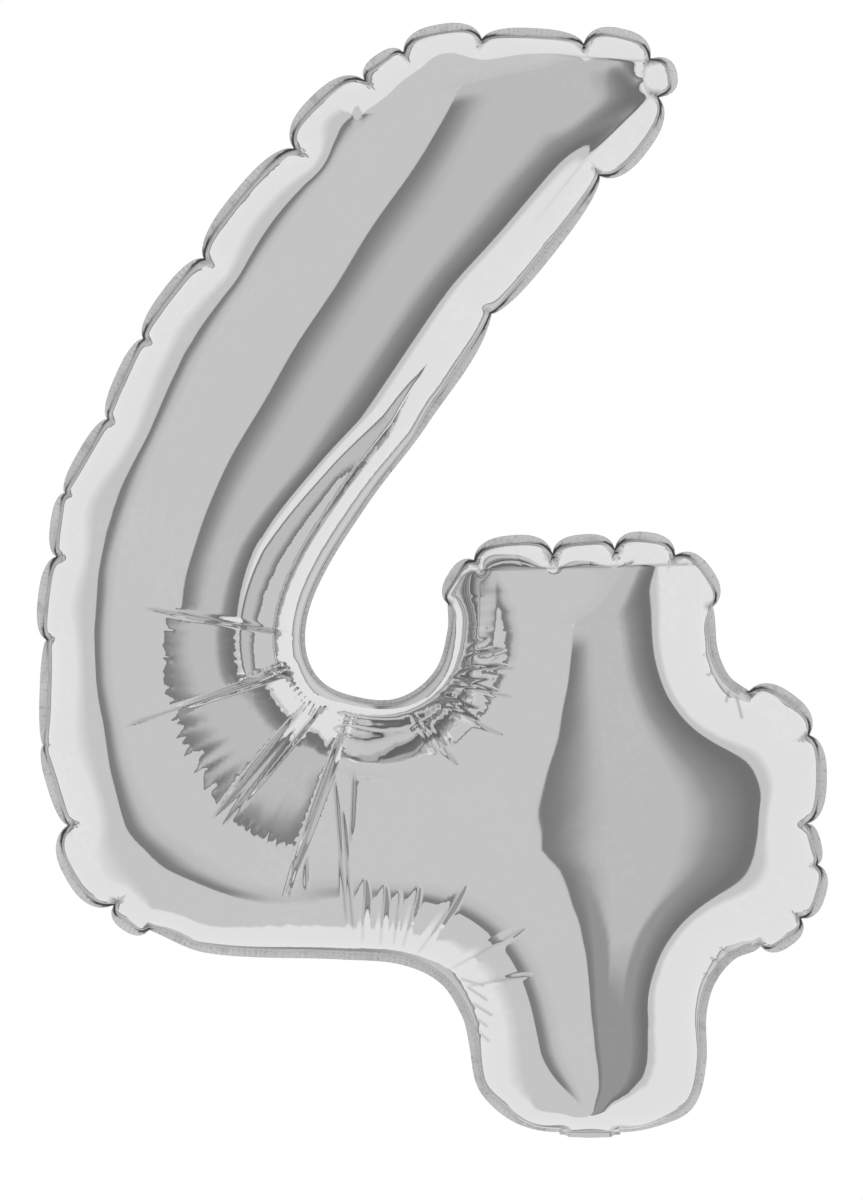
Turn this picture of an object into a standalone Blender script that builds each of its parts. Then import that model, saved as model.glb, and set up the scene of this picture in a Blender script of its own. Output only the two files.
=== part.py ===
"""Foil number balloon, a 4 of about 340 mm, filled with air.

Two metallised film panels are heat-sealed round a flat seam and blown up into a puckered cushion. A
flat self-sealing valve of two clear films stands in the neck, at the bottom of the foot, and the fill
tail below it is two plies of the same foil, folded up behind the foot.

Metres, +Z up. The front faces -Y, the seam lies in the plane y = 0 and the origin is the middle of the
neck's lower edge. Points of the seam are complex numbers, x + z * 1j.
"""

import cmath
import math

import bmesh
import bpy
import numpy as np
from mathutils import Vector
from mathutils.geometry import delaunay_2d_cdt

MM = 0.001

# The digit over the outside of its seam
DIGIT_WIDTH = 240.5 * MM
DIGIT_HEIGHT = 340.0 * MM

# Films
PANEL_FILM = 0.06 * MM
VALVE_FILM = 0.05 * MM

# Heat seal round the panels, and what is left of it where the seam puckers into a notch
SEAL_WIDTH = 3.0 * MM
NOTCH_SEAL = 0.9 * MM

# Depth of an inflated limb, as a share of the depth of a round tube
PLUMPNESS = 0.8

# Neck, valve and fill tail
NECK_WIDTH = 18.5 * MM
CHANNEL_RAMP = 1.5 * MM
VALVE_LENGTH = 60.0 * MM
VALVE_SEAL = 1.5 * MM
VALVE_LIFT = 0.35 * MM
TAIL_LENGTH = 36.0 * MM
TAIL_STANDOFF = 1.0 * MM
CLEARANCE = 0.3 * MM

# Spacing of the points along the seam and over the bulge, and the rows that follow the seal
SEAM_STEP = 6.0 * MM
FEWEST_STEPS = 4
BULGE_STEP = 9.0 * MM
RIM_ROWS = (1.6 * MM, 5.0 * MM)
TAIL_STEPS = 14
VALVE_STEPS = 6

# The seam's edge from the neck's left corner, clockwise as seen from the front, on a drawing of the digit
# that the digit's size stretches. A smooth run is a curve through its points. A run of lobes has a notch at
# each point, and each lobe rises as far as the third number over the straight line to the next point.
DRAWING_WIDTH = 240.5
DRAWING_HEIGHT = 340.0
SEAM_RUNS = (
    (
        "foot's left side and bar's underside",
        [
            (-20.0, 1.7),
            (-28.5, 6.7),
            (-34.5, 14.2),
            (-37.0, 27.2),
            (-39.0, 35.2),
            (-46.0, 45.7),
            (-58.0, 51.2),
            (-76.0, 52.7),
            (-117.0, 54.7),
        ],
    ),
    (
        "heel, back, top and the diagonal's right edge",
        [
            (-134.5, 61.7, 4.5),
            (-145.5, 69.2, 8.5),
            (-159.5, 93.7, 2.5),
            (-167.0, 118.2, 1.5),
            (-166.0, 150.2, 4.0),
            (-163.0, 175.7, 3.0),
            (-160.5, 195.2, 2.5),
            (-147.5, 217.7, 3.0),
            (-136.5, 242.2, 4.0),
            (-118.0, 266.7, 5.5),
            (-90.5, 300.2, 7.5),
            (-69.0, 321.2, 4.0),
            (-57.0, 329.7, 6.5),
            (-33.0, 333.7, 4.0),
            (-2.0, 332.2, 7.0),
            (18.5, 327.7, 7.0),
            (21.0, 315.7, 7.0),
            (3.0, 291.7, 3.5),
            (-30.0, 249.7, 3.0),
        ],
    ),
    (
        "inner bend",
        [
            (-49.5, 216.2),
            (-67.5, 192.2),
            (-83.0, 166.7),
            (-87.0, 150.2),
            (-82.5, 138.2),
            (-70.5, 132.7),
            (-58.0, 132.7),
            (-47.5, 140.7),
            (-43.5, 153.2),
        ],
    ),
    (
        "top of the stem",
        [
            (-43.5, 161.2, 4.5),
            (-35.5, 174.7, 6.5),
            (-11.5, 176.7, 5.0),
            (7.5, 178.2, 6.0),
            (26.0, 176.2, 6.5),
            (37.5, 160.2, 0.5),
        ],
    ),
    (
        "corner over the arm",
        [
            (39.0, 147.2),
            (42.5, 139.2),
        ],
    ),
    (
        "arm",
        [
            (48.5, 134.7, 7.0),
            (67.0, 121.2, 5.5),
            (66.5, 94.2, 2.5),
            (69.5, 81.7, 5.0),
            (64.5, 65.2, 5.0),
            (52.0, 56.7, 1.0),
        ],
    ),
    (
        "corner under the arm and foot's right side",
        [
            (44.0, 52.7),
            (38.0, 45.2),
            (35.5, 35.7),
            (35.5, 21.7),
            (32.5, 9.2),
            (26.0, 3.7),
        ],
    ),
)

# Sizes that follow from those above
NECK_LIFT = VALVE_LIFT + VALVE_FILM + CLEARANCE
CHANNEL_HALF = NECK_WIDTH / 2 - SEAL_WIDTH
VALVE_WIDTH = 2 * (CHANNEL_HALF - CLEARANCE)
FOLD_DROP = NECK_LIFT + PANEL_FILM + CLEARANCE


def clear_scene():
    for old in list(bpy.data.objects):
        bpy.data.objects.remove(old, do_unlink=True)


def material(name, colour, metallic, roughness, alpha=1.0):
    made = bpy.data.materials.new(name)
    made.use_nodes = True
    shader = made.node_tree.nodes["Principled BSDF"]
    shader.inputs["Base Color"].default_value = (*colour, 1.0)
    shader.inputs["Metallic"].default_value = metallic
    shader.inputs["Roughness"].default_value = roughness
    shader.inputs["Alpha"].default_value = alpha
    return made


def film(name, mesh, thickness, looks, collection):
    """An object of a film that Solidify thickens on its outer side, so its inner face stays put."""
    mesh.materials.append(looks)
    mesh.shade_smooth()
    made = bpy.data.objects.new(name, mesh)
    collection.objects.link(made)
    solidify = made.modifiers.new("Film", "SOLIDIFY")
    solidify.thickness = thickness
    solidify.offset = 1.0
    solidify.use_even_offset = True
    return made


def channel_lift(x, half, ramp, lift):
    """Height of a flat channel that is sealed shut outside its half width and a ramp beside it."""
    rise = min(1.0, max(0.0, (half + ramp - abs(x)) / ramp))
    return lift * rise * rise * (3 - 2 * rise)


def channel_columns(half, ramp, edge):
    """Places across a strip where a channel's cross section bends, from its left edge to its right."""
    right = [half / 2, half, half + ramp / 2, half + ramp, edge]
    return [-x for x in reversed(right)] + [0.0] + right


def seam_knots():
    """The seam's points with their lobe's rise and whether each is a notch, from neck corner to corner."""
    corner = NECK_WIDTH / 2
    across = DIGIT_WIDTH / DRAWING_WIDTH
    up = DIGIT_HEIGHT / DRAWING_HEIGHT
    knots = [(complex(-corner, 0), 0.0, False)]
    for _, run in SEAM_RUNS:
        for x, z, *rise in run:
            knots.append((complex(x * across, z * up), rise[0] * up if rise else 0.0, bool(rise)))
    knots.append((complex(corner, 0), 0.0, False))
    return knots


def knot_tangents(knots):
    """Unit directions of travel out of each knot and into the next one."""
    along_neck = complex(-1, 0)
    tangents = []
    for i in range(len(knots) - 1):
        (start, rise, start_notch), (end, _, end_notch) = knots[i], knots[i + 1]
        chord = end - start
        lean = cmath.exp(2j * math.atan2(2 * rise, abs(chord)))
        leave = chord * lean
        arrive = chord / lean
        if not start_notch:
            leave = end - knots[i - 1][0] if i else along_neck
        if not end_notch:
            arrive = knots[i + 2][0] - start if i + 2 < len(knots) else along_neck
        tangents.append((leave / abs(leave), arrive / abs(arrive)))
    return tangents


def cubic(start, end, leave, arrive, t):
    """Point and direction at t on a curve that turns like an arc from one tangent to the other."""
    chord = end - start
    first = start + leave * abs(chord) / (3 * math.cos(cmath.phase(leave / chord) / 2) ** 2)
    second = end - arrive * abs(chord) / (3 * math.cos(cmath.phase(arrive / chord) / 2) ** 2)
    s = 1 - t
    point = s**3 * start + 3 * s * s * t * first + 3 * s * t * t * second + t**3 * end
    slope = s * s * (first - start) + 2 * s * t * (second - first) + t * t * (end - second)
    return point, slope / abs(slope)


def seam_loops():
    """The seam's outer edge, the seal's inner edge and the outward direction at each pair of points."""
    knots = seam_knots()
    tangents = knot_tangents(knots)
    edge, seal, outward = [], [], []

    def add(point, normal, width):
        edge.append(point)
        seal.append(point - normal * width)
        outward.append(normal)

    for i, (leave, arrive) in enumerate(tangents):
        (start, _, start_notch), (end, _, end_notch) = knots[i], knots[i + 1]
        steps = max(FEWEST_STEPS if start_notch else 1, round(abs(end - start) / SEAM_STEP))
        for k in range(steps):
            t = k / steps
            point, direction = cubic(start, end, leave, arrive, t)
            if k == 0 and i:
                direction += tangents[i - 1][1]
            fullness = max(math.sin(math.pi * t), (1 - t) * (not start_notch) + t * (not end_notch))
            width = NOTCH_SEAL + (SEAL_WIDTH - NOTCH_SEAL) * fullness
            add(point, 1j * direction / abs(direction), width)
    for x in reversed(channel_columns(CHANNEL_HALF, CHANNEL_RAMP, NECK_WIDTH / 2)[1:]):
        add(complex(x, 0), -1j, SEAL_WIDTH)
    return np.array(edge), np.array(seal), np.array(outward)


def depth_inside(points, loop):
    """Distance of each point from a closed loop, negative outside it."""
    start = loop[None, :]
    side = np.roll(loop, -1)[None, :] - start
    offset = points[:, None] - start
    along = np.clip((offset * side.conj()).real / np.abs(side) ** 2, 0, 1)
    distance = np.abs(offset - along * side).min(axis=1)
    above = offset.imag < 0
    end_above = (points[:, None] - np.roll(loop, -1)[None, :]).imag < 0
    right_of = (offset * side.conj()).imag * np.sign(side.imag) < 0
    crossings = ((above != end_above) & right_of).sum(axis=1)
    return np.where(crossings % 2 == 1, distance, -distance)


def hex_grid(low, high, step):
    rows = np.arange(low.imag, high.imag, step * math.sqrt(3) / 2)
    columns = np.arange(low.real, high.real, step)
    shift = (np.arange(len(rows)) % 2)[:, None] * step / 2
    return (columns[None, :] + shift + 1j * rows[:, None]).ravel()


def bulge_points(seal, outward):
    """Points inside the seal: rows that follow it closely, where the film is steep, then a hex grid."""
    kept = np.array(seal)
    corner = complex(seal.real.min(), seal.imag.min())
    opposite = complex(seal.real.max(), seal.imag.max())
    layers = [(seal - outward * row, row, row * 0.8) for row in RIM_ROWS]
    layers.append((hex_grid(corner, opposite, BULGE_STEP), RIM_ROWS[-1] + 0.5 * BULGE_STEP, 0.5 * BULGE_STEP))
    for points, depth, apart in layers:
        for point in points[depth_inside(points, seal) > 0.9 * depth]:
            if np.abs(kept - point).min() > apart:
                kept = np.append(kept, point)
    return kept[len(seal):]


def triangulate(edge, seal, inside):
    """All the points and the triangles between them, turning left as seen from the front."""
    points = [Vector((p.real, p.imag)) for p in np.concatenate([edge, seal, inside])]
    count = len(edge)
    seal_sides = [(count + i, count + (i + 1) % count) for i in range(count)]
    flat, _, faces, origins, _, _ = delaunay_2d_cdt(points, seal_sides, [list(range(count))], 1, 1e-7)
    if len(flat) != len(points):
        raise ValueError("the seam's edge crosses itself")
    source = [origin[0] for origin in origins]
    place = np.array([complex(*points[i]) for i in source])
    triangles = []
    for a, b, c in faces:
        left_turn = ((place[b] - place[a]).conjugate() * (place[c] - place[a])).imag > 0
        triangles.append((a, b, c) if left_turn else (a, c, b))
    is_free = np.array(source) >= 2 * count
    return place, np.array(triangles), is_free


def inflate(place, triangles, is_free):
    """Depth of the blown-up film over the seam plane.

    A membrane under even load, held at the seal, gives u. The depth sqrt(2 u) is a half circle across a
    long limb and a shallower dome over a round end, as in a film that can't stretch.
    """
    stiffness = np.zeros((len(place), len(place)))
    load = np.zeros(len(place))
    for turn in range(3):
        a, b, c = np.roll(triangles, turn, axis=1).T
        corner = (place[b] - place[a]).conj() * (place[c] - place[a])
        weight = corner.real / corner.imag / 2
        np.add.at(stiffness, (b, c), -weight)
        np.add.at(stiffness, (c, b), -weight)
        np.add.at(stiffness, (b, b), weight)
        np.add.at(stiffness, (c, c), weight)
        np.add.at(load, a, corner.imag / 6)
    free = np.flatnonzero(is_free)
    depth = np.zeros(len(place))
    depth[free] = np.linalg.solve(stiffness[np.ix_(free, free)], load[free])
    return PLUMPNESS * np.sqrt(2 * depth)


def open_neck(place, depth):
    """Parts the films over the neck's channel, where the valve passes between them."""
    at_neck = (np.abs(place.real) < NECK_WIDTH / 2) & (place.imag < 1.5 * SEAL_WIDTH)
    lift = [channel_lift(x, CHANNEL_HALF, CHANNEL_RAMP, NECK_LIFT) for x in place.real]
    return np.where(at_neck, np.maximum(depth, lift), depth)


def panel(name, side, place, depth, triangles, looks, collection):
    """The front panel has side -1 and the back one +1."""
    corners = [(p.real, side * d, p.imag) for p, d in zip(place, depth)]
    faces = triangles if side < 0 else triangles[:, ::-1]
    mesh = bpy.data.meshes.new(name)
    mesh.from_pydata(corners, [], faces.tolist())
    return film(name, mesh, PANEL_FILM, looks, collection)


def strip(name, columns, rows, place, facing, thickness, looks, collection):
    """A film strip: place(x, t) puts its cross section's column x at t along its length."""
    shape = bmesh.new()
    bmesh.ops.create_grid(shape, x_segments=len(columns) - 1, y_segments=rows, size=1.0)
    for corner in shape.verts:
        column = round((corner.co.x + 1) / 2 * (len(columns) - 1))
        corner.co = place(columns[column], (corner.co.y + 1) / 2)
    shape.normal_update()
    first = min(shape.faces, key=lambda face: face.calc_center_median().z)
    if first.normal.dot(facing) < 0:
        bmesh.ops.reverse_faces(shape, faces=shape.faces[:])
    mesh = bpy.data.meshes.new(name)
    shape.to_mesh(mesh)
    shape.free()
    return film(name, mesh, thickness, looks, collection)


def valve_film(name, side, looks, collection):
    """One of two flat films, sealed to each other along both sides and open at both ends."""
    half = VALVE_WIDTH / 2 - VALVE_SEAL - CHANNEL_RAMP
    columns = channel_columns(half, CHANNEL_RAMP, VALVE_WIDTH / 2)

    def place(x, t):
        return Vector((x, side * channel_lift(x, half, CHANNEL_RAMP, VALVE_LIFT), t * VALVE_LENGTH))

    facing = Vector((0, side, 0))
    return strip(name, columns, VALVE_STEPS, place, facing, VALVE_FILM, looks, collection)


def tail_radius(place, depth):
    """Radius of the arc that the folded tail follows, just clear of the back panel's bulge."""
    near = (np.abs(place.real) < NECK_WIDTH) & (place.imag < TAIL_LENGTH) & (depth > NECK_LIFT)
    back = depth[near] + PANEL_FILM
    up = place.imag[near] + FOLD_DROP
    gap = NECK_LIFT + PANEL_FILM + TAIL_STANDOFF
    return ((back**2 + up**2 - gap**2) / (2 * (up - gap))).max()


def tail_ply(name, side, radius, fold, looks, collection):
    """One of the fill tail's two plies. It is the front one with side -1, which lies outside the fold."""
    columns = channel_columns(CHANNEL_HALF, CHANNEL_RAMP, NECK_WIDTH / 2)

    def place(x, t):
        angle = t * TAIL_LENGTH / radius
        reach = radius - side * channel_lift(x, CHANNEL_HALF, CHANNEL_RAMP, NECK_LIFT)
        return Vector((x, reach * math.sin(angle), radius - reach * math.cos(angle)))

    facing = Vector((0, 0, side))
    made = strip(name, columns, TAIL_STEPS, place, facing, PANEL_FILM, looks, collection)
    made.parent = fold
    return made


def build():
    clear_scene()
    collection = bpy.data.collections.new("foil_number_balloon")
    bpy.context.scene.collection.children.link(collection)
    foil = material("metallised foil", (0.74, 0.74, 0.745), 1.0, 0.08)
    foil_back = material("metallised foil, back", (0.73, 0.73, 0.735), 1.0, 0.09)
    tail_foil = material("tail foil", (0.72, 0.72, 0.725), 1.0, 0.14)
    tail_foil_back = material("tail foil, back", (0.71, 0.71, 0.715), 1.0, 0.14)
    clear_film = material("clear valve film", (0.90, 0.91, 0.92), 0.0, 0.30, 0.6)
    clear_film_back = material("clear valve film, back", (0.88, 0.89, 0.90), 0.0, 0.30, 0.6)

    edge, seal, outward = seam_loops()
    place, triangles, is_free = triangulate(edge, seal, bulge_points(seal, outward))
    depth = open_neck(place, inflate(place, triangles, is_free))
    panel("front_foil_panel", -1, place, depth, triangles, foil, collection)
    panel("back_foil_panel", 1, place, depth, triangles, foil_back, collection)

    valve_film("valve_front_film", -1, clear_film, collection)
    valve_film("valve_back_film", 1, clear_film_back, collection)

    fold = bpy.data.objects.new("tail_fold_axis", None)
    fold.location = (0, 0, -FOLD_DROP)
    collection.objects.link(fold)
    radius = tail_radius(place, depth)
    tail_ply("tail_front_ply", -1, radius, fold, tail_foil, collection)
    tail_ply("tail_back_ply", 1, radius, fold, tail_foil_back, collection)


build()
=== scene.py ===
"""Looks of a foil number balloon: a silver 4 of metallised film, filled with air.

The two panels are fine meshes of the blown-up film with its flat heat seal, puckers and creases. The fill
tail and the valve films are thin sheets. Metres, +Z up, the front faces -Y and the seam lies in y = 0.
Points of the seam plane are complex numbers, x + z * 1j.
"""

import cmath
import math

import bpy
import numpy as np
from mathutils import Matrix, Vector
from mathutils.geometry import delaunay_2d_cdt


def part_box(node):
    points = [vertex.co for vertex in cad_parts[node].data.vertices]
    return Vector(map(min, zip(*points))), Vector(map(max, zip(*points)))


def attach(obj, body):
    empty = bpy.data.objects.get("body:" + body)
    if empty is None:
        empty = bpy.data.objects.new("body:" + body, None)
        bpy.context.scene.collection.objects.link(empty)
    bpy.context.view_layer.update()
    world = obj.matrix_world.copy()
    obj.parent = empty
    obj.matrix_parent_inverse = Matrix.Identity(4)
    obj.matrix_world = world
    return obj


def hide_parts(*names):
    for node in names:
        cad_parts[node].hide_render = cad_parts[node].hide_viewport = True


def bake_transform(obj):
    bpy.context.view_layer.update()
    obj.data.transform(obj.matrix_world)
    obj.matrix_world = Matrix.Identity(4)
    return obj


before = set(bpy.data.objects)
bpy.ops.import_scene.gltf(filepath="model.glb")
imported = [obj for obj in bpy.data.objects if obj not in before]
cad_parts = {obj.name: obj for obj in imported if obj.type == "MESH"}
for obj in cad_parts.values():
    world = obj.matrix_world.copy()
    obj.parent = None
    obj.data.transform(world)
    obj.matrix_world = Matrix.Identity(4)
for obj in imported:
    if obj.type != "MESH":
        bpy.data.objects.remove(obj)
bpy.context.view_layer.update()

MM = 0.001

# Films, seal and neck, as in the solids
PANEL_FILM = 0.06 * MM
SEAL_WIDTH = 3 * MM
NOTCH_SEAL = 0.9 * MM
PLUMPNESS = 0.8
NECK_WIDTH = 18.5 * MM
NECK_LIFT = 0.7 * MM
CHANNEL_HALF = 6.25 * MM
CHANNEL_RAMP = 1.5 * MM
VALVE_WIDTH = 11.9 * MM
VALVE_LENGTH = 60 * MM
VALVE_SEAL = 1.5 * MM
VALVE_LIFT = 0.35 * MM
TAIL_LENGTH = 36 * MM
FOLD_DROP = 1.06 * MM

# Crimp marks across the seal, and unevenness of the valve's films
CRIMP_PITCH = 1.7 * MM
VALVE_UNEVEN = 0.02 * MM

# Depth of the front panel's film where it rolls in to the neck, height over which it rolls in, how far from
# the neck's sides it is full, by what share the seal is narrower there, and the height of the open end
NECK_FULL = 12 * MM
NECK_ROLL = 6 * MM
NECK_SIDE = 4 * MM
NECK_NARROWS = 0.6
NECK_END = 1.5 * SEAL_WIDTH

# Flat sizes of the films before they were sealed and filled
FRONT_TAIL_LENGTH = 38 * MM

# Spacing of the points along the seam, rows of them across the seal, in shares of its width, and inside it,
# and their spacing over the bulge and near creases
SEAM_STEP = 1.2 * MM
FEWEST_STEPS = 6
FLANGE_ROWS = (0.0, 0.12, 0.4, 0.68, 0.92)
RIM_ROWS = (0.4 * MM, 1 * MM, 1.9 * MM)
BULGE_STEP = 1.4 * MM
CREASE_STEP = 0.5 * MM

# The seam's edge from the neck's left corner, clockwise as seen from the front, in millimetres: runs with how
# far the film is gathered there, and the share of the seal's width that lies flat. A smooth run is a curve
# through its points. A run of lobes has a notch at each point, and each lobe rises as far as the third number
# over the straight line to the next point.
FLAT_IN_LOBES = 0.84
SEAM_RUNS = (
    ("foot and bar", 0.5, 0.72, [
        (-20, 1.7), (-28.5, 6.7), (-34.5, 14.2), (-37, 27.2), (-39, 35.2), (-46, 45.7),
        (-58, 51.2), (-76, 52.7), (-117, 54.7),
    ]),
    ("back and top", 0, FLAT_IN_LOBES, [
        (-134.5, 61.7, 4.5), (-145.5, 69.2, 8.5), (-159.5, 93.7, 2.5), (-167, 118.2, 1.5),
        (-166, 150.2, 4), (-163, 175.7, 3), (-160.5, 195.2, 2.5), (-147.5, 217.7, 3),
        (-136.5, 242.2, 4), (-118, 266.7, 5.5), (-90.5, 300.2, 7.5), (-69, 321.2, 4),
        (-57, 329.7, 6.5), (-33, 333.7, 4), (-2, 332.2, 7), (18.5, 327.7, 7),
        (21, 315.7, 7), (3, 291.7, 3.5), (-30, 249.7, 3),
    ]),
    ("inner bend", 1, 0.44, [
        (-49.5, 216.2), (-67.5, 192.2), (-83, 166.7), (-87, 150.2), (-82.5, 138.2), (-70.5, 132.7),
        (-58, 132.7), (-47.5, 140.7), (-43.5, 153.2),
    ]),
    ("top of the stem", 0, FLAT_IN_LOBES, [
        (-43.5, 161.2, 4.5), (-35.5, 174.7, 6.5), (-11.5, 176.7, 5), (7.5, 178.2, 6),
        (26, 176.2, 6.5), (37.5, 160.2, 0.5),
    ]),
    ("corner over the arm", 0.6, 0.72, [
        (39, 147.2), (42.5, 139.2),
    ]),
    ("arm", 0, FLAT_IN_LOBES, [
        (48.5, 134.7, 7), (67, 121.2, 5.5), (66.5, 94.2, 2.5), (69.5, 81.7, 5), (64.5, 65.2, 5),
        (52, 56.7, 1),
    ]),
    ("corner under the arm", 0.5, 0.72, [
        (44, 52.7), (38, 45.2), (35.5, 35.7), (35.5, 21.7), (32.5, 9.2), (26, 3.7),
    ]),
)

# Creases of the film where the digit bends inwards: tip, root near the seam, half width and height, in
# millimetres, and how dark the painted shade along them is. A crease with a height under 0 is a valley.
BEND_CREASES = [
    ((-136, 160.2), (-91, 152.5), 1.6, 0.85, 0.35),
    ((-141, 124.3), (-88.5, 141.8), 1.6, 0.9, 0.35),
    ((-115.5, 95.5), (-85.5, 131.5), 1.6, 0.8, 0.35),
    ((-112, 93.5), (-82.5, 129.5), 1.5, -0.7, 0.35),
    ((-93, 72.5), (-73, 127.5), 1.7, 0.85, 0.35),
    ((-78, 110), (-74, 62), 1, 0.2, 0.35),
    ((-75.5, 100), (-72, 60), 0.9, 0.16, 0.35),
    ((-72, 110), (-73, 88), 0.9, 0.14, 0.35),
    ((-86, 85), (-86.5, 74), 0.9, 0.25, 0.35),
    ((-90, 84), (-91.5, 72), 0.9, 0.25, 0.35),
]
CORNER_CREASES = [
    ((-30.8, 150.6), (-38.5, 147.5), 1.2, 0.4, 0.3),
    ((-25.8, 147.4), (-39.5, 145), 1.4, 0.6, 0.3),
    ((-22.5, 141.8), (-41.5, 141), 1.5, 0.75, 0.3),
    ((-31, 138.6), (-44, 138.8), 1.1, -0.5, 0.4),
    ((-23.5, 133), (-44.5, 137), 1.6, 0.9, 0.3),
    ((-33, 129.5), (-47, 134.5), 1.2, -0.5, 0.4),
    ((-26.5, 121.2), (-49, 132.6), 1.7, 0.95, 0.3),
    ((-40.5, 112), (-50.8, 126), 1.5, 0.75, 0.3),
    ((-46.3, 115.5), (-55.3, 129), 1.6, 0.85, 0.3),
]
FOOT_CREASES = [
    ((-32, 45.2), (-40.2, 47.5), 1.1, 0.4, 0.35),
    ((-31.1, 40.6), (-38, 45.2), 1.2, 0.5, 0.4),
    ((-29.6, 36), (-36.8, 40.3), 1.2, 0.5, 0.4),
    ((-31.1, 32.4), (-36, 36.2), 1.1, 0.45, 0.35),
    ((-30.6, 28), (-35.5, 32.2), 1.1, 0.4, 0.35),
    ((-18, 49), (-38.5, 45), 1.4, 0.45, 0.3),
    ((46, 126), (44, 134.5), 0.8, 0.3, 0.5),
    ((41, 131), (42.5, 136.5), 0.7, 0.25, 0.5),
    ((35, 139.5), (40, 141), 0.8, 0.3, 0.5),
    ((34, 145.5), (38, 146), 0.7, 0.25, 0.5),
    ((36, 54), (41.5, 51), 0.8, 0.3, 0.5),
    ((39, 57), (43.5, 54), 0.8, 0.3, 0.5),
    ((34, 49), (38.5, 47), 0.7, 0.25, 0.5),
]
BAR_CREASES = [
    ((-68.5, 78.5), (-69.5, 57), 2, 0.65, 0.2),
    ((-62.5, 76.5), (-64, 56.5), 2, 0.65, 0.2),
    ((-58, 74.5), (-60, 56.5), 1.7, 0.45, 0.2),
    ((-52, 76.5), (-57.5, 55.5), 2, 0.7, 0.2),
    ((-38, 76.5), (-53.5, 53.5), 2.2, 1, 0.2),
    ((-20, 63.5), (-44, 49.5), 2.2, 1, 0.2),
]

# Folds beside which the film leans: points along the fold with the lean's share there, change of slope on
# its right side as seen from its start, how far the lean reaches, in millimetres, and how dark the painted
# shade along its own line is. The first makes pillows of the lobes at the top of the stem, and the next five
# of those at the upper right corner. The last is the bend's last crease.
FOLD_LINES = [
    ([(-50, 166, 1), (-34, 171.5, 1), (38, 173.5, 1)], -0.5, 7, 0.5),
    ([(-14, 328.8, 0), (-3, 327.6, 0.6), (4, 326.9, 1), (14, 326.5, 1), (18, 326.8, 0.3)], -0.35, 4.5, 0.4),
    ([(18.3, 327.6, 0), (14, 326.5, 1), (4, 326.9, 1), (-3, 327.6, 0.5), (-10, 328.6, 0)], -0.5, 4, 0),
    ([(16.9, 325.5, 0.6), (16, 321, 1), (17.3, 316.5, 1), (19, 313.5, 0.5)], -0.22, 8, 0),
    ([(20.5, 313.8, 0), (17.3, 316.5, 1), (16, 321, 1), (16.9, 325.5, 1), (19.5, 327.8, 0)], -0.45, 5, 0.3),
    ([(19.5, 317.5, 0), (17, 314.8, 0.7), (-1.5, 296.5, 0.45), (-25, 267, 0)], -0.6, 3.5, 0.4),
    ([(-93, 72.5, 0), (-86, 91.8, 1), (-80, 108.3, 1), (-73, 127.5, 0)], 0.24, 12, 0),
]

# Tuck up the stem's left side: its points with its share there, in millimetres, the slope of the film at its
# fold and at its bottom, its width and the length over which the film comes back up
TUCK_LINE = [
    (-38.5, 138, 0), (-36, 144, 0.5), (-34.6, 149, 1.1), (-34.2, 154, 1.15), (-34, 159, 0.9),
    (-34, 165, 0.5), (-34.4, 173, 0.2),
]
TUCK_SLOPES = (0.46, 0.03)
TUCK_WIDTH = 5.3 * MM
TUCK_RETURN = 14 * MM

# Wrinkles that spread from the bend's right corner below the tuck: the seam's points between which they
# start, their middle, their height, their length at the seam and how far they reach
WRINKLE_ENDS = (complex(-62, 132) * MM, complex(-43.5, 154) * MM)
WRINKLE_MIDDLE = complex(-38, 136) * MM
WRINKLE_HEIGHT = 0.06 * MM
WRINKLE_LENGTH = 3.3 * MM
WRINKLE_REACH = 24 * MM

# Fan of facets outside the bend, whose crest the creases push outwards: its middle, the crest's radius, the
# width of the slope inside it and the share of the slope that starts at once
FAN_MIDDLE = complex(-68, 143) * MM
FAN_RADIUS = 63 * MM
FAN_WIDTH = 24 * MM
FAN_JUMP = 0.37

# The fan's facets: the creases on both sides by their places in BEND_CREASES, the facet's slope, how wide
# its rounded crest is, count of the teeth in the crest and how far they reach, in millimetres
FAN_FACETS = [
    (0, 1, 0.13, 0.3, 8, 2.2),
    (1, 2, 0.13, 0.3, 6, 5),
    (3, 4, 0.3, 10, 9, 0.5),
]

# How square the lobes are: 0 for arcs, 1 for a flat top with steep ends, and the power of that curve
LOBE_SQUARE = 0.6
LOBE_POWER = 2.8

# The film further in doesn't follow the lobes of the digit's back: the seam's points between which they are
# evened out, over how many points to each side, and how far in the lobes still show
BACK_ENDS = (complex(-159.5, 93.7) * MM, complex(-69, 321.2) * MM)
BACK_EVEN = 20
BACK_REACH = 18 * MM

# Shoulder of the film inside the upper right corner: where it starts, where it is full, its height, and how
# far to the right of that line it ends at its start, which is twice as far where it is full
SHOULDER = (complex(-14, 305) * MM, complex(10, 319.4) * MM)
SHOULDER_HEIGHT = 2.8 * MM
SHOULDER_SIDE = 11 * MM

# Ridge that runs along the bend's seam up the diagonal: the seam's points between which it lies, how long it
# takes to open to its full width, how far from the seal its peak lies and how high the peak's fringe is, its
# full width up to a fold, how deep the film dips there and how far behind the fold it comes back up
RIDGE_ENDS = (complex(-40.6, 231.6) * MM, complex(-85.7, 142.6) * MM)
RIDGE_OPENS = 75 * MM
RIDGE_PEAK = 8 * MM
RIDGE_FRINGE = 0.014 * MM
RIDGE_WIDTH = 10 * MM
RIDGE_DIP = 1.6 * MM
RIDGE_RETURN = 10 * MM

# The bend's seam pulls the film below it towards the seam plane, up to a fold: how strongly at each point of
# the inner bend, how deep at the peak and at the fold, how far from the seal the peak, the fold and the
# pull's end lie, and how far the fold's teeth reach
BEND_PULLS = (0.0, 0.0, 0.0, 0.0, 0.0, 1.0, 0.7, 0.25, 0.0)
PULL_DEPTH = 5.7 * MM
FOLD_DEPTH = 1 * MM
PULL_PEAK = 8 * MM
PULL_FOLD = 18 * MM
PULL_END = 28 * MM
FOLD_TEETH = 0.8 * MM

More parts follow.
